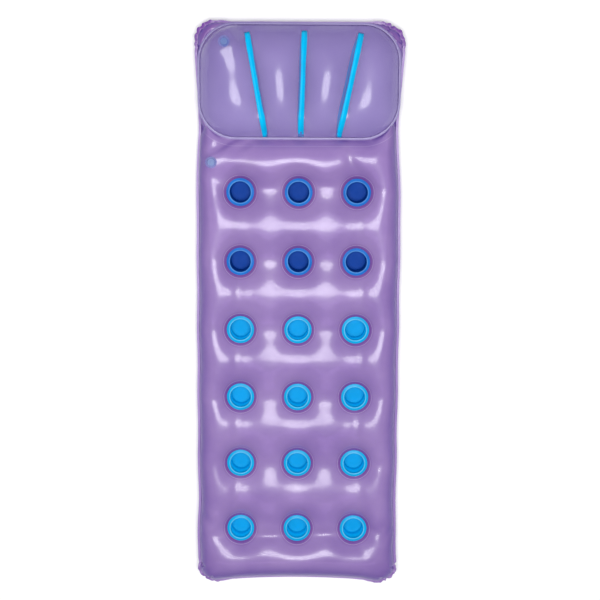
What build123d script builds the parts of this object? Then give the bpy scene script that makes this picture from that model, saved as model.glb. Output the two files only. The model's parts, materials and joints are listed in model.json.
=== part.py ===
from build123d import *
import os
from math import cos, radians, sin

# Inflatable lounge mat: one welded film chamber held flat by eighteen open pockets, with a
# separate pillow chamber welded on top of its head end. Millimetres, +Z up, +Y to the head end,
# origin on the floor under the middle of the mat.

# Mattress
LENGTH = 1837.0  # seam flange to seam flange, before the corners are rounded
WIDTH = 660.0
THICK = 100.0  # floor to the crest of the quilting
MID_Z = THICK / 2  # height of the side seam
FLANGE = 8.0  # width of the welded seam strip
FILM = 1.0  # film thickness of the solids
CORNER_R = 60.0
EDGE_ROLL_R = 42.0  # rounding of the side roll above and below the seam
HEAD_BOW = 13.0  # how far the head seam curves in at its middle
FOOT_BOW = 8.0

# Pockets
ROW_PITCH = 219.6
FIRST_ROW_Y = 380.0
ROWS = 6
COLUMNS = {"left": -184.0, "centre": 0.0, "right": 184.0}
QUILT_DEPTH = 19.0  # how far each pocket's weld pulls the film below the crest
SEAT_R = 46.0  # flat weld area round a pocket
QUILT_R = 108.0  # where the quilting reaches the crest
QUILT_SAG = 4.2  # crown of the film between a pocket and the crest
OVERRUN = 0.5  # cutting profiles end this far past the crest
POCKET_OD = 88.0
MOUTH_R = 32.0
POCKET_FILM = 1.0
HOLE_GAP = 0.6

# Head end, under the pillow
DIVIDER_Z = 72.0
DIVIDER_Y = 540.0
FRONT_RUN = 50.0  # length of the slope from the crest down to the pillow's front weld
FRONT_SAG = 5.0

# Pillow
PILLOW_W = 634.0
PILLOW_FRONT_Y = 544.0
PILLOW_HEAD_Y = 904.0
PILLOW_CORNER_R = 118.0
PILLOW_FLANGE = 7.0
PILLOW_HIGH = 70.0
PILLOW_ROLL_R = 56.0
VALLEY_DEPTH = 22.0
VALLEY_HALF = 64.0
VALLEY_SAG = 6.0

# Webs: X on plan where a web meets the pillow's front and its head end
WEB_FRONT_Y = 566.0
PILLOW_WEB_HEAD_Y = 878.0
MATTRESS_WEB_HEAD_Y = 846.0
WEBS = {"left": (-106.5, -163.5), "centre": (6.0, 16.0), "right": (126.0, 193.0)}
STRIP_W = 13.0

# Valves, in the frame of each valve: origin on the film, Z out of the film
VALVES = {
    "mattress": {"at": (-274.0, 473.0, 97.5), "lean": 4.0, "towards": 180.0},
    "pillow": {"at": (-230.0, 842.0, 139.0), "lean": 10.0, "towards": 118.0},
}
PAD_R = 21.0
VALVE_HOLE_R = 15.0
BASE_R = 18.0
BASE_THICK = 1.4
BASE_BORE_R = 11.6
SKIRT_R = 12.8
SKIRT_DEEP = 3.0
STEM_COLLAR_R = 11.2
COLLAR_DEEP = 1.6
STEM_R = 7.0
STEM_BORE_R = 4.75
STEM_DEEP = 22.0
STOP_R = 12.3
STOP_Z = (-19.5, -17.5)
CAP_R = 9.0
CAP_Z = (1.8, 3.2)
PLUG_TOP_R = 4.3
PLUG_END_R = 2.4
PLUG_DEEP = 5.0
TAB_LONG = 3.2
TAB_WIDE = 5.0
HINGE_X = 10.6
HINGE_R = 0.7
HINGE_HALF = 2.2
EAR_THICK = 1.0
EAR_TOP_Z = 2.9
EAR_DEEP = 1.6
RUN_GAP = 0.35
FLAP_R = 6.2
FLAP_THICK = 0.8
FLAP_GAP = 0.4
FLAP_PIVOT_X = 7.6


def save(shape, node):
    export_step(shape, f"parts/{node}.step")


def row_y(row):
    return FIRST_ROW_Y - row * ROW_PITCH


def pocket_places():
    return [(x, row_y(row)) for row in range(ROWS) for x in COLUMNS.values()]


def arc_through(start, end, sag):
    """Arc from start to end that stands off its chord by sag, on the left of the way it runs."""
    run = (end[0] - start[0], end[1] - start[1])
    size = (run[0] ** 2 + run[1] ** 2) ** 0.5
    middle = ((start[0] + end[0]) / 2 - run[1] / size * sag, (start[1] + end[1]) / 2 + run[0] / size * sag)
    return ThreePointArc(start, middle, end)


def mat_outline(inset):
    """Plan of the mat: straight sides, ends that curve in, rounded corners."""
    x = WIDTH / 2 - inset
    y = LENGTH / 2 - inset
    edges = [
        Line((x, -y), (x, y)),
        ThreePointArc((x, y), (0, y - HEAD_BOW), (-x, y)),
        Line((-x, y), (-x, -y)),
        ThreePointArc((-x, -y), (0, -y + FOOT_BOW), (x, -y)),
    ]
    plan = make_face(edges)
    return fillet(plan.vertices(), CORNER_R - inset)


def pillow_outline(inset):
    plan = RectangleRounded(
        PILLOW_W - 2 * inset,
        PILLOW_HEAD_Y - PILLOW_FRONT_Y - 2 * inset,
        PILLOW_CORNER_R - inset,
    )
    return Pos(0, (PILLOW_HEAD_Y + PILLOW_FRONT_Y) / 2) * plan


def rolled_tray(plan, base_z, high, roll_r):
    """Plan raised from base_z, its upper edge rolled over."""
    tray = Pos(0, 0, base_z) * extrude(plan, high)
    return fillet(tray.edges().group_by(Axis.Z)[-1], roll_r)


def quilt_cutter():
    """Everything above the film round one pocket, flat at the weld and crowned out to the crest."""
    seat_z = THICK - QUILT_DEPTH
    above = THICK + QUILT_DEPTH
    edges = [
        Line((0, seat_z), (SEAT_R, seat_z)),
        arc_through((SEAT_R, seat_z), (QUILT_R, THICK + OVERRUN), QUILT_SAG),
        Line((QUILT_R, THICK + OVERRUN), (QUILT_R, above)),
        Line((QUILT_R, above), (0, above)),
        Line((0, above), (0, seat_z)),
    ]
    profile = make_face([Plane.XZ * edge for edge in edges])
    return revolve(profile, Axis.Z)


def head_cutter():
    """Everything above the film under the pillow, and above the slope in front of it."""
    crest_y = DIVIDER_Y - FRONT_RUN
    above = THICK + DIVIDER_Z
    far = LENGTH
    edges = [
        arc_through((crest_y, THICK + OVERRUN), (DIVIDER_Y, DIVIDER_Z), FRONT_SAG),
        Line((DIVIDER_Y, DIVIDER_Z), (far, DIVIDER_Z)),
        Line((far, DIVIDER_Z), (far, above)),
        Line((far, above), (crest_y, above)),
        Line((crest_y, above), (crest_y, THICK + OVERRUN)),
    ]
    profile = make_face([Plane.YZ * edge for edge in edges])
    return extrude(profile, WIDTH, both=True)


def valve_frame(name):
    valve = VALVES[name]
    turn = radians(valve["towards"])
    lean = radians(valve["lean"])
    out = (sin(lean) * cos(turn), sin(lean) * sin(turn), cos(lean))
    along = (cos(lean) * cos(turn), cos(lean) * sin(turn), -sin(lean))
    return Location(Plane(origin=valve["at"], x_dir=along, z_dir=out))


def pad_cutter(name, grow):
    """Film above the flat pad that a valve is welded to."""
    high = 3 * PAD_R
    return valve_frame(name) * Pos(0, 0, high / 2 - grow) * Cylinder(PAD_R + grow, high)


def valve_hole(name):
    return valve_frame(name) * Cylinder(VALVE_HOLE_R, 2 * BASE_R)


def mattress_side(with_head, grow):
    """Solid under the film's outer face, or with grow = FILM under its inner face."""
    tray = rolled_tray(mat_outline(FLANGE + grow), MID_Z, MID_Z - grow, EDGE_ROLL_R - grow)
    cutters = [Pos(x, y, -grow) * quilt_cutter() for x, y in pocket_places()]
    if with_head:
        cutters.append(Pos(0, 0, -grow) * head_cutter())
        cutters.append(pad_cutter("mattress", grow))
    return tray - cutters


def mattress_sheet(with_head):
    seam = Pos(0, 0, MID_Z) * extrude(mat_outline(0), FILM)
    return seam + mattress_side(with_head, 0) - mattress_side(with_head, FILM)


def mattress_top_sheet():
    hole = Pos(0, 0, THICK - QUILT_DEPTH) * Cylinder(MOUTH_R + POCKET_FILM + HOLE_GAP, 6 * FILM)
    holes = [Pos(x, y) * hole for x, y in pocket_places()]
    return mattress_sheet(True) - holes - valve_hole("mattress")


def mattress_bottom_sheet():
    return mirror(mattress_sheet(False), Plane.XY.offset(MID_Z))


def pocket_cup():
    """Spool with a closed floor: top flange, tube, floor disc that is also the lower flange."""
    top = THICK - QUILT_DEPTH + POCKET_FILM
    floor = QUILT_DEPTH + FILM
    inner = MOUTH_R
    outer = MOUTH_R + POCKET_FILM
    rim = POCKET_OD / 2
    corners = [
        (0, floor), (rim, floor), (rim, floor + POCKET_FILM), (outer, floor + POCKET_FILM),
        (outer, top - POCKET_FILM), (rim, top - POCKET_FILM), (rim, top), (inner, top),
        (inner, floor + POCKET_FILM), (0, floor + POCKET_FILM),
    ]
    profile = make_face(Plane.XZ * Polyline(corners, close=True))
    return revolve(profile, Axis.Z)


def along_web(name):
    """Frame with X along a web towards the head and Z up, its origin at the web's front end."""
    front_x, head_x = WEBS[name]
    start = Vector(front_x, WEB_FRONT_Y)
    end = Vector(head_x, PILLOW_WEB_HEAD_Y)
    return Location(Plane(origin=start, x_dir=end - start, z_dir=(0, 0, 1)))


def valley_cutter(name, crest_z):
    """Everything above the pillow film where a web holds it down."""
    low = crest_z - VALLEY_DEPTH
    flat = STRIP_W / 2
    top = crest_z + OVERRUN
    above = crest_z + VALLEY_DEPTH
    edges = [
        Line((-flat, low), (flat, low)),
        arc_through((flat, low), (VALLEY_HALF, top), VALLEY_SAG),
        Line((VALLEY_HALF, top), (VALLEY_HALF, above)),
        Line((VALLEY_HALF, above), (-VALLEY_HALF, above)),
        Line((-VALLEY_HALF, above), (-VALLEY_HALF, top)),
        arc_through((-VALLEY_HALF, top), (-flat, low), VALLEY_SAG),
    ]
    profile = make_face([Plane.YZ * edge for edge in edges])
    return along_web(name) * extrude(profile, PILLOW_HEAD_Y, both=True)


def pillow_side(grow):
    crest_z = DIVIDER_Z + PILLOW_HIGH
    plan = pillow_outline(PILLOW_FLANGE + grow)
    tray = rolled_tray(plan, DIVIDER_Z, PILLOW_HIGH - grow, PILLOW_ROLL_R - grow)
    cutters = [Pos(0, 0, -grow) * valley_cutter(name, crest_z) for name in WEBS]
    cutters.append(pad_cutter("pillow", grow))
    return tray - cutters


def pillow_top_sheet():
    seam = Pos(0, 0, DIVIDER_Z) * extrude(pillow_outline(0), FILM)
    return seam + pillow_side(0) - pillow_side(FILM) - valve_hole("pillow")


def web(name, head_y, low_z, high_z):
    """Upright strip of film with a weld strip along its top and its bottom edge."""
    run = head_y - WEB_FRONT_Y
    high = high_z - low_z
    weld = Box(run, STRIP_W, FILM)
    body = Box(run, FILM, high) + [Pos(0, 0, side * (high - FILM) / 2) * weld for side in (-1, 1)]
    return along_web(name) * Pos(run / 2, 0, (low_z + high_z) / 2) * body


def tube(outer_r, inner_r, low_z, high_z):
    high = high_z - low_z
    return Pos(0, 0, (low_z + high_z) / 2) * (Cylinder(outer_r, high) - Cylinder(inner_r, high))


def valve_base():
    return tube(BASE_R, BASE_BORE_R, 0, BASE_THICK) + tube(SKIRT_R, BASE_BORE_R, -SKIRT_DEEP, 0)


def hinge_ears(middle_x, low_z, high_z):
    """Two upright ears, one either side of a hinge."""
    ear = Pos(middle_x, 0, (low_z + high_z) / 2) * Box(EAR_DEEP, EAR_THICK, high_z - low_z)
    out = HINGE_HALF + RUN_GAP + EAR_THICK / 2
    return [Pos(0, side * out, 0) * ear for side in (-1, 1)]


def cap_hinge_z():
    return (CAP_Z[0] + CAP_Z[1]) / 2


def flap_top():
    return -STEM_DEEP - FLAP_GAP


def valve_stem():
    """Tube with a collar at its outer end, a stop ring near its inner end and two pairs of ears."""
    collar_top = CAP_Z[0] - RUN_GAP
    collar = tube(STEM_COLLAR_R, STEM_BORE_R, -COLLAR_DEEP, collar_top)
    barrel = tube(STEM_R, STEM_BORE_R, -STEM_DEEP, 0)
    stop = tube(STOP_R, STEM_BORE_R, *STOP_Z)
    cap_ears = hinge_ears(HINGE_X - EAR_DEEP / 2, 0, EAR_TOP_Z)
    flap_ears = hinge_ears(FLAP_PIVOT_X, flap_top() - FLAP_THICK, STOP_Z[0] + EAR_THICK)
    return collar + barrel + stop + cap_ears + flap_ears


def valve_cap():
    """Lid with a tapered plug, a pull tab and the knuckle that it swings on."""
    thick = CAP_Z[1] - CAP_Z[0]
    lid = Pos(0, 0, cap_hinge_z()) * Cylinder(CAP_R, thick)
    plug_high = PLUG_DEEP + CAP_Z[0]
    plug = Pos(0, 0, (CAP_Z[0] - PLUG_DEEP) / 2) * Cone(PLUG_END_R, PLUG_TOP_R, plug_high)
    knuckle = Pos(HINGE_X, 0, cap_hinge_z()) * Rot(90, 0, 0) * Cylinder(HINGE_R, 2 * HINGE_HALF)
    strap_run = 2 * (HINGE_X - CAP_R)
    strap = Pos(CAP_R, 0, cap_hinge_z()) * Box(strap_run, 2 * HINGE_HALF, thick / 2)
    tab = Pos(-CAP_R, 0, cap_hinge_z()) * Box(TAB_LONG, TAB_WIDE, thick / 2)
    return lid + plug + knuckle + strap + tab


def valve_flap():
    """Soft disc under the stem that air pushes open and back pressure closes."""
    middle_z = flap_top() - FLAP_THICK / 2
    disc = Pos(0, 0, middle_z) * Cylinder(FLAP_R, FLAP_THICK)
    tongue = Pos(FLAP_PIVOT_X / 2, 0, middle_z) * Box(FLAP_PIVOT_X, 2 * HINGE_HALF, FLAP_THICK)
    return disc + tongue


def main():
    os.makedirs("parts", exist_ok=True)
    save(mattress_top_sheet(), "mattress_top_sheet")
    save(mattress_bottom_sheet(), "mattress_bottom_sheet")
    save(pillow_top_sheet(), "pillow_top_sheet")
    cup = pocket_cup()
    for row in range(ROWS):
        for column, x in COLUMNS.items():
            save(Pos(x, row_y(row)) * cup, f"pocket_{column}_{row + 1}")
    pillow_web_top = DIVIDER_Z + PILLOW_HIGH - VALLEY_DEPTH - FILM
    for name in WEBS:
        save(web(name, PILLOW_WEB_HEAD_Y, DIVIDER_Z, pillow_web_top), f"pillow_web_{name}")
        save(web(name, MATTRESS_WEB_HEAD_Y, FILM, DIVIDER_Z - FILM), f"mattress_web_{name}")
    for name in VALVES:
        frame = valve_frame(name)
        save(frame * valve_base(), f"{name}_valve_base")
        save(frame * valve_stem(), f"{name}_valve_stem")
        save(frame * valve_cap(), f"{name}_valve_cap")
        save(frame * valve_flap(), f"{name}_valve_flap")


main()
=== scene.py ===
import json
import math

import bpy
import numpy as np
from mathutils import Matrix, Vector
from mathutils.geometry import delaunay_2d_cdt
from mathutils.kdtree import KDTree


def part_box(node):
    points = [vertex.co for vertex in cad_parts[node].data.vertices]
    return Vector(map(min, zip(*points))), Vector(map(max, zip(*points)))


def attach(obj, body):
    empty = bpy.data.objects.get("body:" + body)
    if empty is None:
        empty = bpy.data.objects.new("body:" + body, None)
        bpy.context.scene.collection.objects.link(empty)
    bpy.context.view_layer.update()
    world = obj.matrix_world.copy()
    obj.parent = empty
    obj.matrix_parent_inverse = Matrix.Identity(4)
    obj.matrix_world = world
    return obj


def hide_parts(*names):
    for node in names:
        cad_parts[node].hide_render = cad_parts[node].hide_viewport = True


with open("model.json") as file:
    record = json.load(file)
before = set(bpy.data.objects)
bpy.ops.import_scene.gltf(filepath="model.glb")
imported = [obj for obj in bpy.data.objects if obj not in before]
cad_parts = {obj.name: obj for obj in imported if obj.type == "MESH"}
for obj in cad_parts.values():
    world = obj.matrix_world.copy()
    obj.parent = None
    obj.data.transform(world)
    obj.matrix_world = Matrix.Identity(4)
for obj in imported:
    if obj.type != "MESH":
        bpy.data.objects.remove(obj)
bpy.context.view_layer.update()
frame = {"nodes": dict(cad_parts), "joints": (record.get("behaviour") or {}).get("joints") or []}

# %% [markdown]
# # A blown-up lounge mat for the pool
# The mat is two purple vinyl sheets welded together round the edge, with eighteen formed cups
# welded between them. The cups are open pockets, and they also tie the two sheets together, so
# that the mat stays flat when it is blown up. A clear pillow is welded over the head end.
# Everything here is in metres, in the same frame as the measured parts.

# %% [markdown]
# ## Where things are
# The measured parts already say where each pocket, web and valve sits. Reading those places here,
# instead of typing them again, keeps the soft skin and the hard parts together.

# %% Places read from the measured parts
def middle(node):
    low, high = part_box(node)
    return (low + high) / 2

CUPS = sorted(name for name in frame["nodes"] if name.startswith("pocket_"))
CUP_AT = {name: middle(name) for name in CUPS}
CUP_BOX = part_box("pocket_centre_1")
RIM_R = (CUP_BOX[1].x - CUP_BOX[0].x) / 2
RIM_TOP = CUP_BOX[1].z
CUP_FLOOR = CUP_BOX[0].z
FILM_TOP = RIM_TOP - 0.001  # the purple film lies just under each rim
FILM_LOW = CUP_FLOOR - 0.001
MOUTH_R = 0.0336
PILLOW_LOW, PILLOW_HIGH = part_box("pillow_top_sheet")
DIVIDER = PILLOW_LOW.z
MAT_LOW, MAT_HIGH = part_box("mattress_top_sheet")
SEAM_Z = MAT_LOW.z
FLANGE = 0.008
print(len(CUPS), "pockets, rim radius", round(RIM_R, 4), "pillow from", tuple(PILLOW_LOW))

# %% Valve places, from the joints that they move on
def valve_frame(name):
    """Place of a valve: Z out of the film, X towards the side that its cap opens to."""
    joints = {joint["name"]: joint for joint in frame["joints"]}
    out = Vector(joints[f"{name}_valve_pull"]["axis"])
    hinge = joints[f"{name}_cap_hinge"]
    side = Vector(hinge["axis"])
    along = side.cross(out)
    origin = Vector(hinge["pos_m"]) - along * 0.0106 - out * 0.0025
    turn = Matrix((along, side, out)).transposed()
    return Matrix.Translation(origin) @ turn.to_4x4()

VALVE_AT = {name: valve_frame(name) for name in ("mattress", "pillow")}
BASE_R = 0.018
print({name: tuple(round(v, 4) for v in at.translation) for name, at in VALVE_AT.items()})

# %% [markdown]
# ## The cutting pattern
# A real mat is cut flat, welded flat and only then blown up. The film has to curve over the side
# rolls and dip to each pocket, so the blown-up mat is smaller on plan than the flat one. A flat mat
# of 71 by 188 cm draws in to about 66 by 183 cm. Starting from the flat cut and letting the air do
# the work gives the true puckers, which are hard to model by hand.

# %% Outlines of the flat cut
def rounded(half_w, low_y, high_y, radius, step, corner_step):
    """Points round a rectangle with rounded corners, closer together in the corners."""
    def straight(a, b):
        count = max(1, round(math.dist(a, b) / step))
        return [(a[0] + (b[0] - a[0]) * i / count, a[1] + (b[1] - a[1]) * i / count) for i in range(count)]

    def corner(cx, cy, first):
        count = round(radius * math.pi / 2 / corner_step)
        angles = [first + math.pi / 2 * i / count for i in range(count)]
        return [(cx + radius * math.cos(a), cy + radius * math.sin(a)) for a in angles]

    x, y0, y1 = half_w - radius, low_y + radius, high_y - radius
    points = straight((half_w, y0), (half_w, y1)) + corner(x, y1, 0)
    points += straight((x, high_y), (-x, high_y)) + corner(-x, y1, math.pi / 2)
    points += straight((-half_w, y1), (-half_w, y0)) + corner(-x, y0, math.pi)
    points += straight((-x, low_y), (x, low_y)) + corner(x, y0, 1.5 * math.pi)
    return np.array(points)

def eased(share):
    """From 0 to 1 with a soft start and a soft end."""
    return share * share * (3 - 2 * share)

def circle(at, radius, count):
    angle = np.arange(count) * 2 * math.pi / count
    return np.stack([at[0] + radius * np.cos(angle), at[1] + radius * np.sin(angle)], 1)

def edge_distance(points, half_w, low_y, high_y, radius):
    """How far each point is outside the rounded outline, negative inside."""
    centre = np.array([0, (low_y + high_y) / 2])
    half = np.array([half_w, (high_y - low_y) / 2])
    q = np.abs(points[:, :2] - centre) - (half - radius)
    return np.linalg.norm(np.maximum(q, 0), axis=1) + np.minimum(q.max(1), 0) - radius

# %% [markdown]
# ## Turning a pattern into a mesh
# The film needs small, even triangles that still follow each weld exactly. A Delaunay fill does
# that: the weld lines are given as fixed edges, and a honeycomb of points fills the space between.
# A slight random nudge of the points keeps the puckers from lining up with the mesh.

# %% Mesh from weld lines and a honeycomb fill
def honeycomb(half_w, low_y, high_y, step):
    rows = np.arange(low_y, high_y, step * math.sqrt(3) / 2)
    lines = [np.arange(-half_w + (i % 2) * step / 2, half_w, step) for i in range(len(rows))]
    return np.vstack([np.stack([xs, np.full(len(xs), y)], 1) for xs, y in zip(lines, rows)])

def fill_pattern(lines, fill, step):
    """lines: name -> (points, closed). Returns points, triangles and name -> indices."""
    points, edges, where = [], [], {}
    for name, (line, closed) in lines.items():
        first, count = len(points), len(line)
        points += [tuple(p) for p in line]
        edges += [(first + i, first + (i + 1) % count) for i in range(count if closed else count - 1)]
        where[name] = range(first, first + count)
    tree = KDTree(len(points))
    for i, p in enumerate(points):
        tree.insert((p[0], p[1], 0), i)
    tree.balance()
    room = np.array([tree.find((x, y, 0))[2] for x, y in fill])
    nudge = np.random.default_rng(5).normal(0, step * 0.06, fill.shape)
    points += [tuple(p) for p in (fill + nudge)[room > 0.6 * step]]
    flat, _, faces, origin, _, _ = delaunay_2d_cdt([Vector(p) for p in points], edges, [], 0, 1e-7)
    moved = {old: new for new, olds in enumerate(origin) for old in olds}
    flat = np.array([tuple(p) for p in flat])
    where = {name: np.array([moved[i] for i in indices]) for name, indices in where.items()}
    return flat, np.array([tuple(f) for f in faces]), where

# %% Put a mesh in the scene
def new_piece(name, verts, faces):
    """A smooth-shaded object made from points and faces."""
    mesh = bpy.data.meshes.new(name)
    mesh.from_pydata([tuple(v) for v in verts], [], faces)
    mesh.shade_smooth()
    piece = bpy.data.objects.new(name, mesh)
    bpy.context.scene.collection.objects.link(piece)
    return piece

def store_mark(piece, name, values):
    """A number on each point, which the finishes read."""
    stored = piece.data.attributes.new(name, "FLOAT", "POINT")
    stored.data.foreach_set("value", np.asarray(values, np.float32))

# %% [markdown]
# ## Blowing up
# Blender's cloth has a pressure setting that pushes every face along its normal, as air does. Each
# weld ring is pinned, and the pins travel from their place in the flat cut to their place in the
# blown-up mat while the air comes in. The solver then only has to settle the film between them.

# %% Inflate a film whose welds travel from flat to blown up
FRAMES = 26
TRAVEL_FRAMES = 12  # the welds arrive this early, and the rest is settling

def blow_up(name, flat, faces, goal, pins, stiffness, pressure):
    """Returns the settled points of a film."""
    scene = bpy.context.scene
    film = new_piece(name, flat, [tuple(int(i) for i in face) for face in faces])
    film.shape_key_add(name="flat")
    blown = film.shape_key_add(name="blown")
    blown.data.foreach_set("co", goal.ravel())
    for value, at in ((0.0, 1), (1.0, TRAVEL_FRAMES)):
        blown.value = value
        blown.keyframe_insert("value", frame=at)
    film.vertex_groups.new(name="welds").add([int(i) for i in pins], 1.0, "REPLACE")
    modifier = film.modifiers.new("air", "CLOTH")
    modifier.point_cache.frame_end = FRAMES
    modifier.collision_settings.use_collision = False
    air = modifier.settings
    air.vertex_group_mass = "welds"
    air.quality, air.mass, air.air_damping = 6, 0.004, 1.0
    air.tension_stiffness = stiffness
    air.compression_stiffness, air.shear_stiffness = stiffness / 4, stiffness / 8
    air.tension_damping = air.compression_damping = air.shear_damping = 5.0
    air.bending_stiffness, air.bending_damping = 0.0008, 0.1
    air.use_pressure, air.uniform_pressure_force = True, pressure
    air.effector_weights.gravity = 0.0
    scene.frame_start, scene.frame_end = 1, FRAMES
    for at in range(1, FRAMES + 1):
        scene.frame_set(at)
    settled = film.evaluated_get(bpy.context.evaluated_depsgraph_get()).data
    points = np.zeros(len(settled.vertices) * 3)
    settled.vertices.foreach_get("co", points)
    scene.frame_set(1)
    bpy.data.objects.remove(film)
    return points.reshape(-1, 3)

# %% [markdown]
# ## The mattress
# Both sheets have the same pattern and share the seam points, so the pair closes into one
# cushion of air. The upper sheet has a hole for the valve. Under the pillow the upper sheet is
# held flat, because there is air on both sides of it.

# %% Sizes of the mattress cut
STEP = 0.011
CORNER_STEP = 0.005
QUILT = 1.012  # flat row spacing over blown-up row spacing
SIDE_EASE = 0.027  # extra film for each side roll
END_EASE = 0.016
SEAM_X = MAT_HIGH.x - FLANGE
SEAM_Y = MAT_HIGH.y - FLANGE
ROW_YS = sorted({round(at.y, 5) for at in CUP_AT.values()})
QUILT_MIDDLE = (ROW_YS[0] + ROW_YS[-1]) / 2
CUT_X = SEAM_X + SIDE_EASE
CUT_FOOT = -SEAM_Y - END_EASE - 0.022  # the foot roll is the fuller one
CUT_HEAD = SEAM_Y + END_EASE + 0.008
CUT_CORNER = 0.085
CUT = (CUT_X, CUT_FOOT, CUT_HEAD, CUT_CORNER)
PILLOW_EASE = 0.013
PILLOW_EASE_FRONT, PILLOW_EASE_HEAD = 0.022, 0.014

def flat_place(x, y):
    """Where a point of the quilting lay in the flat cut."""
    return x, QUILT_MIDDLE + (y - QUILT_MIDDLE) * QUILT

print("flat cut", round(2 * (CUT_X + FLANGE), 3), "by", round(CUT_HEAD - CUT_FOOT + 2 * FLANGE, 3), "m")

# %% Weld lines of the mattress
def web_ends(name):
    """Plan ends of a web, front end then head end, read from its box."""
    low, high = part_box(name)
    half = 0.0065  # half of the measured weld strip
    ends = (low.x + half, high.x - half)
    front, head = ends if ends[0] > 0 and "left" not in name else ends[::-1]
    return np.array([front, low.y]), np.array([head, high.y])

WEBS = {side: web_ends(f"pillow_web_{side}") for side in ("left", "centre", "right")}
VALVE_SHIFT = 0.008  # the side roll draws the valve this far outwards
PILLOW_MID_Y = (PILLOW_LOW.y + PILLOW_HIGH.y) / 2
PILLOW_R = 0.118
pillow_cut = (PILLOW_HIGH.x + PILLOW_EASE, PILLOW_LOW.y + PILLOW_EASE_FRONT, PILLOW_HIGH.y + PILLOW_EASE_HEAD,
              PILLOW_R)
valve_flat = flat_place(VALVE_AT["mattress"].translation.x + VALVE_SHIFT, VALVE_AT["mattress"].translation.y)

lines = {"seam": (rounded(*CUT, STEP, CORNER_STEP), True)}
ring_count = round(2 * math.pi * RIM_R / (STEP * 0.75))
for name, at in CUP_AT.items():
    lines[name] = (circle(flat_place(at.x, at.y), RIM_R, ring_count), True)
    lines[name + "_guide"] = (circle(flat_place(at.x, at.y), RIM_R + STEP * 0.7, ring_count), True)
lines["valve"] = (circle(valve_flat, BASE_R, 14), True)
lines["pillow"] = (rounded(*pillow_cut, STEP, STEP), True)
for side, (front, head) in WEBS.items():
    share = np.linspace(0, 1, 28)[:, None]
    lines["web_" + side] = ((front + (head - front) * share) * (1.02, 1.0) + (0, 0.008), False)
print(len(lines), "weld lines")

# %% Fill the mattress pattern
coarse = honeycomb(CUT_X, CUT_FOOT, CUT_HEAD, STEP)
fine = honeycomb(CUT_X, CUT_FOOT, CUT_HEAD, CORNER_STEP)
corner_x, corner_y = CUT_X - CUT_CORNER, (CUT_HEAD - CUT_FOOT) / 2 - CUT_CORNER

def near_corner(points):
    from_middle = points[:, 1] - (CUT_HEAD + CUT_FOOT) / 2
    return (np.abs(points[:, 0]) > corner_x) & (np.abs(from_middle) > corner_y)

def near_seam(points):
    return edge_distance(points, *CUT) > -0.045

in_fine = near_corner(fine) & near_seam(fine)
in_coarse = ~(near_corner(coarse) & near_seam(coarse))
fill = np.vstack([coarse[in_coarse], fine[in_fine]])
depth = edge_distance(fill, *CUT)
keep = depth < -0.5 * CORNER_STEP
for name, at in CUP_AT.items():
    centre = flat_place(at.x, at.y)
    keep &= np.hypot(fill[:, 0] - centre[0], fill[:, 1] - centre[1]) > RIM_R
keep &= np.hypot(fill[:, 0] - valve_flat[0], fill[:, 1] - valve_flat[1]) > BASE_R
flat, triangles, where = fill_pattern(lines, fill[keep], CORNER_STEP)
print(len(flat), "points in the flat pattern")

# %% Two sheets that share the seam
def outside_circle(centres, at, radius):
    return np.hypot(centres[:, 0] - at[0], centres[:, 1] - at[1]) > radius * 0.98

centres = flat[triangles].mean(1)
open_pockets = np.ones(len(triangles), bool)
for at in CUP_AT.values():
    open_pockets &= outside_circle(centres, flat_place(at.x, at.y), RIM_R)
upper_faces = triangles[open_pockets & outside_circle(centres, valve_flat, BASE_R)]
inner = edge_distance(flat, *CUT) < -1e-5
count = len(flat)
below = np.arange(count)
below[inner] = count + np.arange(inner.sum())
lower_faces = below[triangles[open_pockets]][:, ::-1]
lift = 0.006 * np.clip(-edge_distance(flat, *CUT) / 0.02, 0, 1)
rest = np.vstack([np.column_stack([flat, SEAM_Z + lift]), np.column_stack([flat, SEAM_Z - lift])[inner]])
print(len(rest), "points,", len(upper_faces) + len(lower_faces), "triangles")

# %% Where each weld ends up
goal, pins = rest.copy(), []

def pin(indices, places):
    goal[indices] = places
    pins.extend(indices)

for name, at in CUP_AT.items():
    ring = where[name]
    plan = flat[ring] - flat_place(at.x, at.y) + (at.x, at.y)
    pin(ring, np.column_stack([plan, np.full(len(ring), FILM_TOP)]))
    pin(below[ring], np.column_stack([plan, np.full(len(ring), FILM_LOW)]))

ring = where["valve"]
round_valve = np.column_stack([flat[ring] - valve_flat, np.zeros(len(ring))])
pin(ring, [tuple(VALVE_AT["mattress"] @ Vector((-x, -y, z))) for x, y, z in round_valve])  # its X points left

def pillow_plan(points):
    """From the flat cut of the pillow's weld to its blown-up outline."""
    half_x, low, high, _ = pillow_cut
    scale = (PILLOW_HIGH.x / half_x, (PILLOW_HIGH.y - PILLOW_LOW.y) / (high - low))
    return (points - (0, (low + high) / 2)) * scale + (0, PILLOW_MID_Y)

under_pillow = np.where(edge_distance(flat, *pillow_cut) < 1e-5)[0]
pin(under_pillow, np.column_stack([pillow_plan(flat[under_pillow]), np.full(len(under_pillow), DIVIDER)]))
WEB_FOOT = 0.014
for side, (front, head) in WEBS.items():
    line = where["web_" + side]
    share = np.linspace(0, 1, len(line))[:, None]
    plan = front + (head - front) * share
    pin(below[line], np.column_stack([plan, np.full(len(line), WEB_FOOT)]))
pins = sorted({int(i) for i in pins})
print(len(pins), "pinned points")

# %% [markdown]
# ### Smooth film between the welds
# Vinyl under pressure stretches until it is smooth, and only gathered edges stay creased. A much
# finer cloth would show that, slowly. Here each free point is averaged with its neighbours a few
# times instead. A small step back after each average keeps the film from shrinking.

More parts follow.
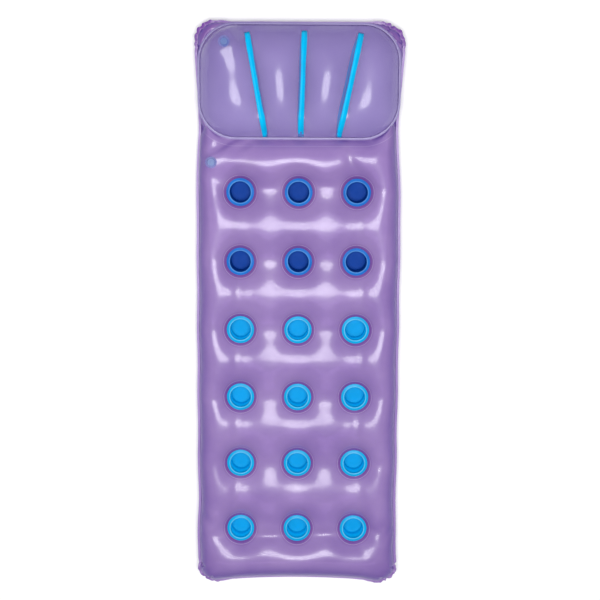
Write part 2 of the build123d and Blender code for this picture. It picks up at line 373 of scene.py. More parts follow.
# %% Press out the finest creases
def calmed(points, faces, held, passes):
    """Averages each free point with its neighbours, then gives back the volume that costs."""
    edges = np.vstack([faces[:, [0, 1]], faces[:, [1, 2]], faces[:, [2, 0]]])
    edges = np.unique(np.sort(edges, axis=1), axis=0)
    ends, others = edges.ravel(), edges[:, ::-1].ravel()
    number = np.maximum(np.bincount(ends, minlength=len(points)), 1)[:, None]
    for share in (0.5, -0.52) * passes:
        total = np.zeros_like(points)
        np.add.at(total, ends, points[others])
        points = points + (total / number - points) * share * (1 - held)[:, None]
    return points

# %% Blow up the mattress
both_sheets = np.vstack([upper_faces, lower_faces])
blown = blow_up("mattress_air", rest, both_sheets, goal, pins, stiffness=11, pressure=140)
held = np.zeros(len(blown))  # 1 where a point stays as it is
held[pins] = 1.0
held[where["seam"]] = 1.0
corner_gap = np.hypot(np.abs(blown[:, 0]) - SEAM_X, np.abs(blown[:, 1]) - SEAM_Y)
held = np.maximum(held, np.clip(1.6 - corner_gap / 0.07, 0, 0.85))  # the corners keep most creases
blown = calmed(blown, both_sheets, held, passes=12)
blown[:, 2] = np.maximum(blown[:, 2], 0.0006)  # the floor holds up what would sag below it
print("blown-up box", blown.min(0).round(4), blown.max(0).round(4))

# %% [markdown]
# ## The pillow
# The pillow is one more sheet, welded to the upper sheet along a rounded outline, and held down
# along three leaning lines by upright webs. That makes four lobes. Its film is blown up in the same
# way, with the outline and the web lines pinned. A stretchy film keeps the lobes smooth.

# %% Weld lines of the pillow
PILLOW_WELD = 0.007
PILLOW_STEP = 0.009
PILLOW_SEAT = DIVIDER + 0.0012
WEB_HIGH = 0.046
WEB_END = 0.012  # height of a web where it starts
STRIP_HALF = 0.0066
pillow_frame = (PILLOW_HIGH.x - PILLOW_WELD, PILLOW_LOW.y + PILLOW_WELD, PILLOW_HIGH.y - PILLOW_WELD,
                PILLOW_R - PILLOW_WELD)

def web_line(side, offset, count):
    """Plan points along a web, offset sideways."""
    front, head = WEBS[side]
    along = (head - front) / np.linalg.norm(head - front)
    across = np.array([along[1], -along[0]])
    share = np.linspace(0, 1, count)[:, None]
    return front + (head - front) * share + across * offset

def web_rise(count):
    """Height of a web's top edge along its length: it slopes down to the weld at both ends."""
    share = np.linspace(0, 1, count)
    ramp = np.clip(np.minimum(share / 0.16, (1 - share) / 0.2), 0, 1)
    return WEB_END + (WEB_HIGH - WEB_END) * np.sin(ramp * math.pi / 2) ** 0.8

WEB_POINTS = 34
valve_plan = np.array(VALVE_AT["pillow"].translation.xy)
pillow_lines = {"weld": (rounded(*pillow_frame, PILLOW_STEP, PILLOW_STEP), True)}
for side in WEBS:
    pillow_lines[side + "_near"] = (web_line(side, -STRIP_HALF, WEB_POINTS), False)
    pillow_lines[side + "_far"] = (web_line(side, STRIP_HALF, WEB_POINTS), False)
pillow_lines["valve"] = (circle(valve_plan, BASE_R, 16), True)
print(len(pillow_lines), "weld lines on the pillow")

# %% Fill and pin the pillow pattern
fill = honeycomb(pillow_frame[0], pillow_frame[1], pillow_frame[2], PILLOW_STEP)
keep = edge_distance(fill, *pillow_frame) < -0.5 * PILLOW_STEP
keep &= np.hypot(*(fill - valve_plan).T) > BASE_R
plan, pillow_faces, on = fill_pattern(pillow_lines, fill[keep], PILLOW_STEP)
pillow_faces = pillow_faces[outside_circle(plan[pillow_faces].mean(1), valve_plan, BASE_R)]
pillow_faces = pillow_faces[edge_distance(plan[pillow_faces].mean(1), *pillow_frame) < 0]
off_weld = -edge_distance(plan, *pillow_frame)
pillow_rest = np.column_stack([plan, PILLOW_SEAT + 0.02 * np.clip(off_weld / 0.05, 0, 1)])  # a low dome to start
pillow_goal = pillow_rest.copy()
pillow_goal[on["weld"]] = np.column_stack([plan[on["weld"]], np.full(len(on["weld"]), PILLOW_SEAT)])
for side in WEBS:
    for edge in ("_near", "_far"):
        line = on[side + edge]
        pillow_goal[line] = np.column_stack([plan[line], DIVIDER + web_rise(WEB_POINTS)])
ring = on["valve"]
round_valve = np.column_stack([plan[ring] - valve_plan, np.zeros(len(ring))])
turn_valve = VALVE_AT["pillow"].to_3x3()
heading = Matrix.Rotation(-math.atan2(turn_valve[1][0], turn_valve[0][0]), 3, "Z")
pillow_goal[ring] = [tuple(VALVE_AT["pillow"] @ (heading @ Vector(p))) for p in round_valve]
pillow_pins = sorted({int(i) for line in on.values() for i in line})
print(len(plan), "points,", len(pillow_pins), "pinned")

# %% Blow up the pillow
pillow_blown = blow_up("pillow_air", pillow_rest, pillow_faces, pillow_goal, pillow_pins, stiffness=3,
                       pressure=680)
print("pillow from", pillow_blown.min(0).round(4), "to", pillow_blown.max(0).round(4))

# %% [markdown]
# ### The film round the pillow's valve
# The valve stands near a corner of the pillow, where the film already falls towards its weld. The
# pinned ring pulls it up into a cone there, but real film swells into a round shoulder. A longer
# simulation with a looser cut could find it. A formula is quicker and surer: it raises the film
# round the ring and fades out before the weld and the nearest web.

# %% A round shoulder under the pillow's valve
SHOULDER = 0.085  # reach from the valve's ring
SHOULDER_TOP = 0.142
WELD_RUN, WEB_RUN = 0.034, 0.045  # the shoulder fades out over these distances
out_of_film = VALVE_AT["pillow"].to_3x3() @ Vector((0, 0, 1))
from_valve = pillow_blown[:, :2] - valve_plan
shoulder_z = VALVE_AT["pillow"].translation.z - from_valve @ np.array(out_of_film.xy) / out_of_film.z
near = 1 - np.clip((np.hypot(*from_valve.T) - BASE_R) / SHOULDER, 0, 1)
from_weld = np.clip(off_weld / WELD_RUN, 0, 1)
beside_web = np.min([np.hypot(*(plan - point).T) for point in web_line("left", 0.0, 80)], axis=0)
from_web = np.clip((beside_web - 2 * STRIP_HALF) / WEB_RUN, 0, 1)
share = eased(near) * np.sqrt(from_weld * (2 - from_weld)) * eased(from_web)
raised = share * np.maximum(np.minimum(shoulder_z, SHOULDER_TOP) - pillow_blown[:, 2], 0)
raised[pillow_pins] = 0.0
pillow_blown[:, 2] += raised
print("film raised by up to", round(float(raised.max()) * 1000, 1), "mm beside the valve")

# %% [markdown]
# ## From settled points to film pieces
# Each sheet becomes its own piece. Outside the air there is still the weld: a flat strip, 8 mm
# wide, where two sheets are fused. Where the blown-up mat is shorter than the flat cut, that strip
# has film to spare, so it ruffles, most of all round the head corners. The ruffles could come from
# the cloth too, but waves along the strip, sized by the spare length, cost less and stay even.

# %% Ruffled weld strip along a loop
RUFFLE_PITCH = 0.019
RUFFLE_MOST = 0.0060  # up and down
SCALLOP = 0.0075  # outwards
FULL_SPARE = 0.06  # spare length that gives the full ruffle
FOOT_SHARE = 0.4  # how much of it the foot corners get

def smooth_loop(points, passes):
    for _ in range(passes):
        points = (np.roll(points, 1, 0) + 2 * points + np.roll(points, -1, 0)) / 4
    return points

def outward_of(loop):
    """Sideways direction at each point of a loop that runs anticlockwise."""
    along = np.roll(loop, -1, 0) - np.roll(loop, 1, 0)
    side = np.column_stack([along[:, 1], -along[:, 0], np.zeros(len(loop))])
    return side / np.linalg.norm(side, axis=1)[:, None]

def weld_strip(loop, cut, width, rows, lift):
    """Rows of points outside a loop, each row further out and more ruffled."""
    calm = smooth_loop(loop, 6)
    run = np.linalg.norm(np.roll(calm, -1, 0) - calm, axis=1)
    cut_run = np.linalg.norm(np.roll(cut, -1, 0) - cut, axis=1)
    spare = np.clip(smooth_loop((cut_run / run - 1)[:, None], 12)[:, 0], 0, FULL_SPARE) / FULL_SPARE
    from_corner = np.hypot(np.abs(calm[:, 0]) - MAT_HIGH.x, np.abs(calm[:, 1]) - MAT_HIGH.y)
    gather = spare * np.clip(1.4 - from_corner / 0.085, 0, 1) * np.where(calm[:, 1] > 0, 1.0, FOOT_SHARE)
    turn = math.pi * round(run.sum() / RUFFLE_PITCH) * np.cumsum(run) / run.sum()
    side = outward_of(calm)
    strip = []
    for row in range(1, rows + 1):
        share = row / rows
        puff = SCALLOP * np.abs(np.sin(turn)) * gather
        points = loop + side * ((width + puff) * share)[:, None]
        points[:, 2] += lift + RUFFLE_MOST * gather * np.sin(2 * turn) * share
        strip.append(points)
    return strip

# %% Faces of the strip, and the places that the finishes need
def strip_faces(first, loop, count, flip):
    """Quads between a loop and the row of points that follows it."""
    faces = []
    for i in range(count):
        j = (i + 1) % count
        quad = (loop[i], first + i, first + j, loop[j])
        faces.append(quad[::-1] if flip else quad)
    return faces

def mark_places(piece, verts):
    """How near each point is to a pocket, a gathered corner and the pillow's front weld, for painted shade and a
    reflection line.
    """
    gap = np.min([np.hypot(verts[:, 0] - at.x, verts[:, 1] - at.y) for at in CUP_AT.values()], axis=0)
    store_mark(piece, "pocket_gap", gap)
    # corner mark: layered film and painted shade, strongest at the head corners
    gathered_and_shaded = np.zeros(len(verts))
    for end, strength in ((MAT_HIGH.y, 1.0), (MAT_LOW.y, 0.45)):
        away = np.hypot(np.abs(verts[:, 0]) - MAT_HIGH.x, verts[:, 1] - end)
        gathered_and_shaded = np.maximum(gathered_and_shaded, strength * np.clip(1.35 - away / 0.085, 0, 1))
    store_mark(piece, "gathered_and_shaded", gathered_and_shaded)
    in_front = edge_distance(verts, PILLOW_HIGH.x, PILLOW_LOW.y, PILLOW_HIGH.y, PILLOW_R)
    in_front[verts[:, 1] > PILLOW_LOW.y + PILLOW_R * 0.6] = 1.0
    store_mark(piece, "pillow_gap", in_front)

# %% Build a film piece with its strip
def film_piece(name, points, faces, loop, strip, flip):
    """One welded film: blown-up part, then the strip outside it."""
    used, faces = np.unique(faces, return_inverse=True)
    faces = [tuple(int(i) for i in face) for face in faces.reshape(-1, 3)]
    place = {old: new for new, old in enumerate(used)}
    edge = [place[int(i)] for i in loop]
    verts = [points[used]]
    on_strip = [np.zeros(len(used))]
    total = len(used)
    on_strip[0][edge] = 0.25
    for row, extra in enumerate(strip):
        faces += strip_faces(total, edge, len(extra), flip)
        edge = list(range(total, total + len(extra)))
        verts.append(extra)
        on_strip.append(np.full(len(extra), 1.0 + row))
        total += len(extra)
    verts = np.vstack(verts)
    piece = new_piece(name, verts, faces)
    store_mark(piece, "on_weld", np.concatenate(on_strip))
    mark_places(piece, verts)
    finer = piece.modifiers.new("finer", "SUBSURF")
    finer.levels = finer.render_levels = 1
    print(name, len(verts), "points,", len(faces), "faces")
    return piece

# %% The two sheets of the mattress
STRIP_ROWS = 3
seam_ring = where["seam"]
calm_seam = smooth_loop(blown[seam_ring], 14)
at_corner = np.clip(1.5 - corner_gap[seam_ring] / 0.09, 0, 0.8)[:, None]  # the sides run straight
blown[seam_ring] = calm_seam + (blown[seam_ring] - calm_seam) * at_corner
upper_strip, lower_strip = (weld_strip(blown[seam_ring], flat[seam_ring], FLANGE, STRIP_ROWS, apart)
                            for apart in (0.0002, -0.0002))
top_film = film_piece("mattress_top_film", blown, upper_faces, seam_ring, upper_strip, True)
pocket_floors = below[triangles[~open_pockets]][:, ::-1]
low_film = film_piece("mattress_bottom_film", blown, np.vstack([lower_faces, pocket_floors]), seam_ring,
                      lower_strip, False)

# %% The pillow film
weld_ring = on["weld"]
pillow_strip = weld_strip(pillow_blown[weld_ring], pillow_blown[weld_ring], PILLOW_WELD, 2, 0.0)
pillow_film = film_piece("pillow_film", pillow_blown, pillow_faces, weld_ring, pillow_strip, True)

# %% [markdown]
# ## Pockets
# A pocket is a formed cup of thicker, solid-coloured vinyl. It has a flat rim welded to the upper
# sheet, a bead at the mouth, a short wall and a floor welded to the lower sheet. A lathe-like spin
# gives the shape. A slightly oval mouth and soft folds in the wall stop it looking machined.

# %% A cup turned from its profile
CUP_HIGH = RIM_TOP - CUP_FLOOR
CUP_PROFILE = [  # radius, height above the cup's lowest point, share of the way down
    (RIM_R, CUP_HIGH - 0.0011, 0.0), (RIM_R - 0.0003, CUP_HIGH - 0.0003, 0.0), (RIM_R - 0.002, CUP_HIGH, 0.0),
    (MOUTH_R + 0.0065, CUP_HIGH + 0.0002, 0.0), (MOUTH_R + 0.0032, CUP_HIGH + 0.0014, 0.05),
    (MOUTH_R + 0.0010, CUP_HIGH + 0.0016, 0.1), (MOUTH_R - 0.0004, CUP_HIGH + 0.0002, 0.2),
    (MOUTH_R - 0.0002, CUP_HIGH - 0.004, 0.35), (MOUTH_R - 0.0012, CUP_HIGH - 0.020, 0.6),
    (MOUTH_R - 0.0014, CUP_HIGH - 0.040, 0.8), (MOUTH_R - 0.0006, 0.006, 0.95),
    (MOUTH_R - 0.0018, 0.0022, 1.0), (MOUTH_R - 0.005, 0.0012, 1.0), (MOUTH_R * 0.55, 0.0018, 1.0),
    (MOUTH_R * 0.2, 0.0022, 1.0),
]
OUTER_PROFILE = [  # the back of the cup: under the rim, down the tube, out along the lower weld
    (MOUTH_R + 0.0012, CUP_HIGH - 0.0016, 0.0), (MOUTH_R + 0.0008, CUP_HIGH - 0.0060, 0.3),
    (MOUTH_R - 0.0002, CUP_HIGH - 0.030, 0.6), (MOUTH_R + 0.0008, 0.0060, 0.9), (MOUTH_R + 0.0020, 0.0016, 1.0),
    (RIM_R - 0.0015, 0.0012, 1.0), (RIM_R, 0.0008, 1.0), (RIM_R - 0.001, 0.0003, 1.0), (MOUTH_R, 0.0002, 1.0),
]
SPOKES = 72

def turned_cup(name, at, dice):
    """A pocket at a place, with its own slight ovality and folds."""
    lean, oval = dice.uniform(0, math.pi), dice.uniform(0.004, 0.014)
    folds, fold_turn = int(dice.integers(4, 7)), dice.uniform(0, 2 * math.pi)
    rings = OUTER_PROFILE[::-1] + CUP_PROFILE
    verts, depth = [], []
    for radius, high, down in rings:
        for spoke in range(SPOKES):
            turn = 2 * math.pi * spoke / SPOKES
            inside = 1.0 if radius < MOUTH_R + 0.004 else 0.0
            wide = radius * (1 + oval * inside * math.cos(2 * (turn - lean)))
            wall = math.sin(math.pi * min(1.0, high / CUP_HIGH)) * inside * (1.0 if radius > 0.8 * MOUTH_R else 0)
            wide += 0.0007 * wall * math.sin(folds * turn + fold_turn + 40 * high)
            verts.append((at.x + wide * math.cos(turn), at.y + wide * math.sin(turn), CUP_FLOOR + high))
            depth.append(down)
    faces = []
    for ring in range(len(rings) - 1):
        for spoke in range(SPOKES):
            a, b = ring * SPOKES + spoke, ring * SPOKES + (spoke + 1) % SPOKES
            faces.append((a, b, b + SPOKES, a + SPOKES))
    verts += [(at.x, at.y, CUP_FLOOR + 0.0023), (at.x, at.y, CUP_FLOOR + 0.0002)]  # middle of the floor, both sides
    depth += [1.0, 1.0]
    last = (len(rings) - 1) * SPOKES
    for spoke in range(SPOKES):
        step = (spoke + 1) % SPOKES
        faces.append((last + spoke, last + step, len(verts) - 2))
        faces.append((step, spoke, len(verts) - 1))
    piece = new_piece(name, verts, faces)
    store_mark(piece, "how_deep", depth)
    return piece

# %% Turn all the pockets
dice = np.random.default_rng(21)
cups = {}
for name, at in CUP_AT.items():
    cups[name] = turned_cup(name.replace("pocket", "cup"), at, dice)
print(len(cups), "cups,", len(cups["pocket_centre_1"].data.polygons), "faces each")

# %% [markdown]
# ## Webs
# Each lobe of the pillow ends at a web: an upright strip of film with a coloured weld along its
# top and foot. A second set under it ties the upper sheet to the lower one. The centre and right
# webs lean, so one side of them shows through the pillow. They are thin sheets, so each is built as
# one wide strip with a wall, and then given a film's thickness.

# %% Upright strips with welded edges
STATIONS = 46  # sections along a web

def web_piece(name, side, foot, top, first, last, lean=0.0):
    """An I-shaped strip. foot and top give a height for each share of the way along."""
    front, head = WEBS[side]
    along = (head - front) / np.linalg.norm(head - front)
    across = np.array([along[1], -along[0]])
    shares = np.linspace(first, last, STATIONS)
    wander = np.random.default_rng(len(name)).normal(0, 1, (4, STATIONS))
    wander = np.array([np.convolve(row, np.ones(9) / 9, "same") for row in wander]) * 0.0009
    verts, faces = [], []
    for i, share in enumerate(shares):
        middle_of = front + (head - front) * share
        low, high = foot(share), top(share)
        wide = STRIP_HALF + 0.0022 + wander[0][i] * 0.6
        aside = lean * min(1.0, 6 * min(share, 1 - share))
        section = [(-wide, high - 0.0002), (0.0, high), (wide, high - 0.0002),
                   (wander[1][i] * 2 + aside / 2, (low + high) / 2),
                   (aside, low), (aside - wide, low), (aside + wide, low)]
        for sideways, z in section:
            x, y = middle_of + across * (sideways + wander[2][i])
            verts.append((x, y, z))
    for i in range(len(shares) - 1):
        a, b = 7 * i, 7 * (i + 1)
        for p, q in ((0, 1), (1, 2), (1, 3), (3, 4), (5, 4), (4, 6)):
            faces.append((a + p, a + q, b + q, b + p))
    piece = new_piece(name, verts, faces)
    thick = piece.modifiers.new("film", "SOLIDIFY")
    thick.thickness, thick.offset = 0.0005, 0.0
    return piece

# %% Six webs, from their welds
STRIP_START = -0.04  # the upper strips start a little before the web does
RISE_AT = np.linspace(0, 1, WEB_POINTS)
RISE = web_rise(WEB_POINTS)

def pillow_web_top(share):
    return DIVIDER + float(np.interp(share, (STRIP_START, *RISE_AT), (0.002, *RISE))) + 0.0012

LEAN = {"left": 0.0, "centre": -0.004, "right": -0.008}  # sideways set of each foot
webs = {}
for side in WEBS:
    webs["pillow_web_" + side] = web_piece(
        "upper_web_" + side, side, lambda s: DIVIDER + 0.0009, pillow_web_top, STRIP_START, 1.0, LEAN[side])
    webs["mattress_web_" + side] = web_piece(
        "lower_web_" + side, side, lambda s: WEB_FOOT + 0.0006, lambda s: DIVIDER - 0.0007, 0.0, 0.92)
print(len(webs), "webs")

# %% [markdown]
# ## Finishes
# Thin vinyl lets light through and tints it, and its surface is glossy. A Principled surface mixed
# with a tinted see-through one does both. Where two layers lie together, as on the weld, the tint
# counts twice, so overlaps darken by themselves. Small bumps break up the reflections.

# %% Building blocks for the finishes
def start_finish(name):
    finish = bpy.data.materials.new(name)
    finish.use_nodes = True
    finish.node_tree.nodes.clear()
    return finish, finish.node_tree

def node(tree, kind, **settings):
    made = tree.nodes.new(kind)
    for key, value in settings.items():
        if key in made.inputs:
            made.inputs[key].default_value = value
        else:
            setattr(made, key, value)
    return made

def blotches(tree, scale, detail=3.0, stretch=(1, 1, 1)):
    """Soft noise in the object's own metres."""
    place = node(tree, "ShaderNodeTexCoord")
    sized = node(tree, "ShaderNodeMapping", Scale=stretch)
    noise = node(tree, "ShaderNodeTexNoise", Scale=scale, Detail=detail, Roughness=0.5)
    tree.links.new(place.outputs["Object"], sized.inputs["Vector"])
    tree.links.new(sized.outputs["Vector"], noise.inputs["Vector"])
    return noise.outputs["Fac"]

def patchy(tree, scale, low, high):
    """Soft noise that runs from low to high."""
    return stretch_to(tree, blotches(tree, scale), 0.3, 0.7, low, high)

def stretch_to(tree, value, low_in, high_in, low_out, high_out, smooth=False):
    kind = "SMOOTHSTEP" if smooth else "LINEAR"
    change = node(tree, "ShaderNodeMapRange", interpolation_type=kind)
    tree.links.new(value, change.inputs["Value"])
    for socket, number in zip(("From Min", "From Max", "To Min", "To Max"), (low_in, high_in, low_out, high_out)):
        change.inputs[socket].default_value = number
    return change.outputs["Result"]

def blend_colours(tree, share, first, second):
    """first and second are colours, or sockets that give one."""
    mix = node(tree, "ShaderNodeMix", data_type="RGBA")
    tree.links.new(share, mix.inputs[0])
    for socket, colour in ((mix.inputs[6], first), (mix.inputs[7], second)):
        if isinstance(colour, tuple):
            socket.default_value = (*colour, 1.0)
        else:
            tree.links.new(colour, socket)
    return mix.outputs[2]

def combine(tree, operation, first, second):
    sum_node = node(tree, "ShaderNodeMath", operation=operation)
    for socket, value in zip(sum_node.inputs, (first, second)):
        if isinstance(value, (int, float)):
            socket.default_value = value
        else:
            tree.links.new(value, socket)
    return sum_node.outputs[0]

# %% Bumps, marks and see-through
def add_bump(tree, surface, height, depth, strength):
    bump = node(tree, "ShaderNodeBump", Strength=strength, Distance=depth)
    tree.links.new(height, bump.inputs["Height"])
    tree.links.new(bump.outputs["Normal"], surface.inputs["Normal"])

def mark(tree, name):
    return node(tree, "ShaderNodeAttribute", attribute_name=name).outputs["Fac"]

def hump(tree, value, middle, half):
    """1 at the middle, falling to 0 half a width either side."""
    off = combine(tree, "ABSOLUTE", combine(tree, "SUBTRACT", value, middle), 0.0)
    return stretch_to(tree, off, 0.0, half, 1.0, 0.0, smooth=True)

def let_light_through(tree, skin, tint, body):
    """Mix a surface with tinted see-through. body is how solid it is, a number or a socket."""
    through = node(tree, "ShaderNodeBsdfTransparent", Color=(*tint, 1.0))
    both = node(tree, "ShaderNodeMixShader")
    if isinstance(body, float):
        both.inputs[0].default_value = body
    else:
        tree.links.new(body, both.inputs[0])
    tree.links.new(through.outputs[0], both.inputs[1])
    tree.links.new(skin.outputs[0], both.inputs[2])
    tree.links.new(both.outputs[0], node(tree, "ShaderNodeOutputMaterial").inputs["Surface"])

# %% [markdown]
# ### Purple film
# Round each pocket the film dips steeply to the coloured cup; a darker, redder band is painted
# there as painted shade in that dip. The end of the weld shows as a fine pale ring. The gathered
# corners are painted deeper, partly for the layered film there and partly as painted shade on the
# steep corners. Film seen at a glancing angle looks deeper too, because more of it lies in the line
# of sight. A pale line just in front of the pillow's weld is a painted reflection. Painted maps could
# say where, but marks stored on the mesh follow the shape by themselves.

# %% Vinyl film
def vinyl_film(name, body, blush, shade_and_layer_purple, edge, pale, tint, see_through, weld_line, on_pockets, gloss):
    finish, tree = start_finish(name)
    skin = node(tree, "ShaderNodeBsdfPrincipled", IOR=1.52)
    skin.inputs["Coat Roughness"].default_value = 0.14
    colour = blend_colours(tree, patchy(tree, 7.0, 0.0, 1.0), body, blush)
    weld = mark(tree, "on_weld")
    opaque = stretch_to(tree, weld, 0.3, 1.0, 1 - see_through, 1 - see_through * 0.75)
    shine = stretch_to(tree, weld, 0.3, 0.8, gloss, gloss * 0.2)
    if on_pockets:
        gap = mark(tree, "pocket_gap")
        # painted shade: the film is darker and redder in the dip round each pocket
        pocket_dip_shade = stretch_to(tree, gap, 0.046, 0.062, 0.85, 0.0, smooth=True)
        colour = blend_colours(tree, pocket_dip_shade, colour, shade_and_layer_purple)
        halo = combine(tree, "MULTIPLY", hump(tree, gap, 0.0535, 0.0013), 0.55)
        colour = blend_colours(tree, halo, colour, pale)
        opaque = combine(tree, "ADD", opaque, combine(tree, "MULTIPLY", pocket_dip_shade, 0.12))
        # painted reflection: a pale line on the film just in front of the pillow's weld
        painted_reflection_line = combine(tree, "MULTIPLY", hump(tree, mark(tree, "pillow_gap"), 0.020, 0.0016), 0.4)
        colour = blend_colours(tree, painted_reflection_line, colour, pale)
        # deeper corners: partly the layered film, partly painted shade on the steep corners
        corner_layers_and_shade = combine(tree, "MULTIPLY", mark(tree, "gathered_and_shaded"), 0.95)
        colour = blend_colours(tree, corner_layers_and_shade, colour, shade_and_layer_purple)
        opaque = combine(tree, "ADD", opaque, combine(tree, "MULTIPLY", corner_layers_and_shade, 0.3))
        shine = combine(tree, "MULTIPLY", shine, stretch_to(tree, corner_layers_and_shade, 0.0, 0.8, 1.0, 0.3))
    tree.links.new(shine, skin.inputs["Coat Weight"])
    line = combine(tree, "MULTIPLY", hump(tree, weld, 0.55, 0.6), weld_line)
    colour = blend_colours(tree, line, colour, pale)
    rim = node(tree, "ShaderNodeLayerWeight", Blend=0.35).outputs["Facing"]
    colour = blend_colours(tree, stretch_to(tree, rim, 0.06, 0.40, 0.0, 0.9), colour, edge)
    tree.links.new(colour, skin.inputs["Base Color"])
    tree.links.new(patchy(tree, 22.0, 0.32, 0.42), skin.inputs["Roughness"])
    ripple = combine(tree, "MULTIPLY", blotches(tree, 16.0, 2.0, (1.0, 2.2, 1.0)), 0.55)
    grain = combine(tree, "MULTIPLY", blotches(tree, 420.0, 2.0), 0.03)
    ribs = node(tree, "ShaderNodeTexWave", Scale=190.0, Distortion=0.4, wave_type="BANDS",
                bands_direction="DIAGONAL")
    place = node(tree, "ShaderNodeTexCoord")
    tree.links.new(place.outputs["Object"], ribs.inputs["Vector"])
    pressed = combine(tree, "MULTIPLY", ribs.outputs["Fac"], stretch_to(tree, weld, 0.3, 1.0, 0.0, 0.12))
    add_bump(tree, skin, combine(tree, "ADD", combine(tree, "ADD", ripple, grain), pressed), 0.0035, 0.35)
    opaque = combine(tree, "ADD", opaque, combine(tree, "MULTIPLY", rim, 0.35))
    let_light_through(tree, skin, tint, opaque)
    return finish

mat_vinyl = vinyl_film(
    "purple_vinyl", body=(0.42, 0.285, 0.60), blush=(0.33, 0.21, 0.52), shade_and_layer_purple=(0.16, 0.035, 0.30),
    edge=(0.11, 0.045, 0.36), pale=(0.70, 0.60, 0.86), tint=(0.74, 0.60, 0.90), see_through=0.42,
    weld_line=0.12, on_pockets=True, gloss=0.55)
pillow_vinyl = vinyl_film(
    "clear_purple_vinyl", body=(0.25, 0.21, 0.48), blush=(0.20, 0.165, 0.42), shade_and_layer_purple=(0.2, 0.12, 0.4),
    edge=(0.18, 0.14, 0.42), pale=(0.66, 0.60, 0.84), tint=(0.84, 0.80, 0.96), see_through=0.66,
    weld_line=0.5, on_pockets=False, gloss=1.0)
print("film finishes", mat_vinyl.name, pillow_vinyl.name)

# %% [markdown]
# ### Pocket vinyl
# The cups are dyed through and nearly opaque, but light still scatters inside the vinyl, so their
# walls are brighter than a painted tube would be. True scattering is slow and noisy in such thin
# walls, so a faint glow on the wall stands for it. The colour also changes with depth: the cyan
# walls are painted lighter, as painted light, and the deep blue walls and floors darker, as painted
# shade down in the cup. A pale line on the bead at the mouth is a painted highlight.

# %% Solid-coloured vinyl for cups and webs
def dyed_vinyl(name, rim, wall, floor, lip_highlight, glow):
    finish, tree = start_finish(name)
    skin = node(tree, "ShaderNodeBsdfPrincipled", IOR=1.5)
    skin.inputs["Specular IOR Level"].default_value = 0.10
    depth = mark(tree, "how_deep")
    # colour by depth: cyan walls painted lighter (painted light), deep blue walls and floors painted darker
    # (painted shade)
    colour = blend_colours(tree, stretch_to(tree, depth, 0.12, 0.35, 0.0, 1.0), rim, wall)
    colour = blend_colours(tree, stretch_to(tree, depth, 0.92, 0.99, 0.0, 1.0), colour, floor)
    tree.links.new(colour, skin.inputs["Emission Color"])
    wall_only = hump(tree, depth, 0.65, 0.33)
    tree.links.new(combine(tree, "MULTIPLY", wall_only, glow), skin.inputs["Emission Strength"])
    # painted highlight: a pale line on the bead at the mouth
    colour = blend_colours(tree, combine(tree, "MULTIPLY", hump(tree, depth, 0.11, 0.09), 0.6), colour, lip_highlight)
    cloudy = stretch_to(tree, blotches(tree, 30.0), 0.35, 0.75, 0.0, 0.35)
    dark = tuple(0.75 * channel for channel in floor)
    tree.links.new(blend_colours(tree, cloudy, colour, dark), skin.inputs["Base Color"])
    matt = stretch_to(tree, depth, 0.3, 0.9, 0.0, 0.3)
    tree.links.new(combine(tree, "ADD", patchy(tree, 60.0, 0.26, 0.36), matt), skin.inputs["Roughness"])
    grain = combine(tree, "MULTIPLY", blotches(tree, 700.0, 2.0), 0.25)
    add_bump(tree, skin, combine(tree, "ADD", grain, blotches(tree, 45.0)), 0.0008, 0.4)
    tree.links.new(skin.outputs[0], node(tree, "ShaderNodeOutputMaterial").inputs["Surface"])
    return finish

deep_blue = dyed_vinyl("deep_blue_vinyl", rim=(0.012, 0.16, 0.56), wall=(0.0, 0.06, 0.36),
                       floor=(0.003, 0.055, 0.34), lip_highlight=(0.14, 0.36, 0.70), glow=0.08)
cyan = dyed_vinyl("cyan_vinyl", rim=(0.0, 0.35, 0.68), wall=(0.0, 0.42, 0.76),
                  floor=(0.0, 0.34, 0.63), lip_highlight=(0.24, 0.64, 0.92), glow=0.38)
web_cyan = dyed_vinyl("cyan_web_vinyl", rim=(0.0, 0.50, 0.90), wall=(0.0, 0.42, 0.80),
                      floor=(0.0, 0.42, 0.80), lip_highlight=(0.0, 0.50, 0.90), glow=0.0)
print("dyed finishes", deep_blue.name, cyan.name, web_cyan.name)

# %% [markdown]
# ### Valve plastic
# The valves are soft moulded vinyl, pale blue and slightly cloudy. Fine moulding grain keeps the
# flat ring from looking like glass.

# %% Cloudy moulded vinyl
def cloudy_plastic(name, light, dark, body):
    finish, tree = start_finish(name)
    skin = node(tree, "ShaderNodeBsdfPrincipled", IOR=1.5)
    tree.links.new(blend_colours(tree, patchy(tree, 150.0, 0.0, 1.0), light, dark), skin.inputs["Base Color"])
    tree.links.new(patchy(tree, 300.0, 0.25, 0.4), skin.inputs["Roughness"])
    add_bump(tree, skin, blotches(tree, 900.0, 2.0), 0.0003, 0.3)
    let_light_through(tree, skin, (0.80, 0.84, 0.96), body)
    return finish

valve_plastic = cloudy_plastic("cloudy_blue_plastic", (0.24, 0.34, 0.66), (0.18, 0.27, 0.58), 0.5)
valve_ring = cloudy_plastic("clear_ring_plastic", (0.36, 0.40, 0.76), (0.30, 0.33, 0.70), 0.22)
print("valve finishes", valve_plastic.name, valve_ring.name)

# %% Give each piece its finish and its body, and hide the measured part it stands for
def settle(piece, finish, slot, *stands_for):
    piece.data.materials.clear()
    piece.data.materials.append(finish)
    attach(piece, "float")
    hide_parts(*stands_for)

settle(top_film, mat_vinyl, "mattress_film", "mattress_top_sheet")
settle(low_film, mat_vinyl, "mattress_film", "mattress_bottom_sheet")
settle(pillow_film, pillow_vinyl, "pillow_film", "pillow_top_sheet")
for name, cup in cups.items():
    dark_rows = name.endswith(("_1", "_2"))
    settle(cup, deep_blue if dark_rows else cyan, "pocket_deep_blue" if dark_rows else "pocket_cyan", name)
for name, web in webs.items():
    settle(web, web_cyan, "web_cyan", name)

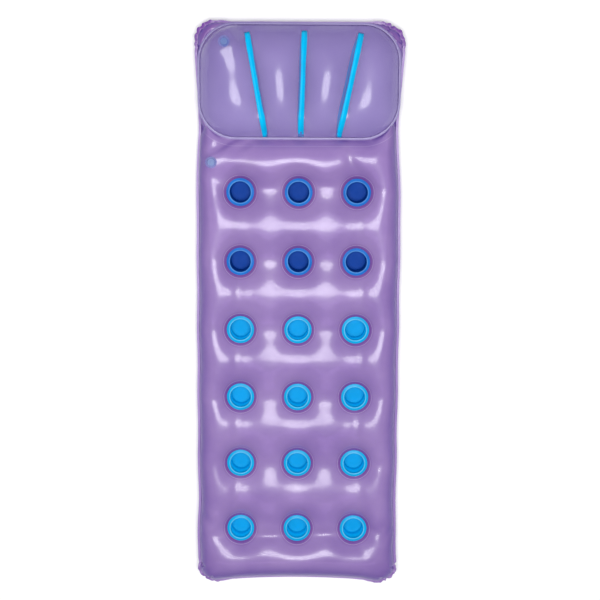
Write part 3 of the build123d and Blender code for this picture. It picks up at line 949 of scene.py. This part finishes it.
# %% [markdown]
# ## Valves
# The measured valve parts already have the right shape: a welded ring, a stem that pulls out, a
# cap on a hinge and a flap inside. They keep their own meshes. A small bevel catches the light on
# their edges, as a moulded part's rounded edges do.

# %% Finish the valve parts
for valve in VALVE_AT:
    for part in ("base", "stem", "cap", "flap"):
        moulded = frame["nodes"][f"{valve}_valve_{part}"]
        moulded.data.materials.clear()
        moulded.data.materials.append(valve_ring if part == "base" else valve_plastic)
        edge = moulded.modifiers.new("rounded_edges", "BEVEL")
        edge.width, edge.segments, edge.limit_method = 0.0002, 2, "ANGLE"
        edge.angle_limit = math.radians(50)

# %% [markdown]
# ## Studio
# The mat lies on a plain white floor. One large soft light hangs high above it, so the gloss shows
# as broad pale bands along the crests, and a bright sky fills the rest. An elliptical light gives
# rounder highlights than a square one, and a small lamp would leave hard bright dots.

# %% Floor
floor_mesh = bpy.data.meshes.new("floor")
FLOOR = 40  # far enough to reach the horizon
floor_mesh.from_pydata([(-FLOOR, -FLOOR, 0), (FLOOR, -FLOOR, 0), (FLOOR, FLOOR, 0), (-FLOOR, FLOOR, 0)], [],
                       [(0, 1, 2, 3)])
floor = bpy.data.objects.new("floor", floor_mesh)
bpy.context.scene.collection.objects.link(floor)
floor_paint, tree = start_finish("white_floor")
paint = node(tree, "ShaderNodeBsdfPrincipled", Roughness=0.9)
paint.inputs["Specular IOR Level"].default_value = 0.1
tree.links.new(blend_colours(tree, blotches(tree, 3.0), (0.93, 0.93, 0.93), (0.96, 0.96, 0.96)),
               paint.inputs["Base Color"])
tree.links.new(paint.outputs[0], node(tree, "ShaderNodeOutputMaterial").inputs["Surface"])
floor_mesh.materials.append(floor_paint)

# %% Light
def soft_light(name, at, aim, size, watts):
    lamp = bpy.data.lights.new(name, "AREA")
    lamp.shape, lamp.size, lamp.size_y, lamp.energy = "ELLIPSE", size[0], size[1], watts
    light = bpy.data.objects.new(name, lamp)
    light.location = at
    light.rotation_euler = (Vector(aim) - Vector(at)).to_track_quat("-Z", "Y").to_euler()
    bpy.context.scene.collection.objects.link(light)

soft_light("overhead_softbox", (0.0, 0.25, 5.0), (0.0, 0.05, 0.0), (2.6, 1.9), 220)
sky = bpy.data.worlds.new("studio")
bpy.context.scene.world = sky
sky.use_nodes = True
sky_light = sky.node_tree.nodes["Background"]
sky_light.inputs["Color"].default_value = (1.0, 1.0, 1.0, 1.0)
sky_light.inputs["Strength"].default_value = 0.40
bpy.context.scene.view_settings.view_transform = "Standard"

# %% Camera
camera = bpy.data.objects.new("camera", bpy.data.cameras.new("camera"))
camera.data.lens = 74.7
camera.location = (0.003, 0.624, 4.006)
camera.rotation_euler = (math.radians(-8.5), 0.0, math.radians(0.3))
bpy.context.scene.collection.objects.link(camera)
bpy.context.scene.camera = camera
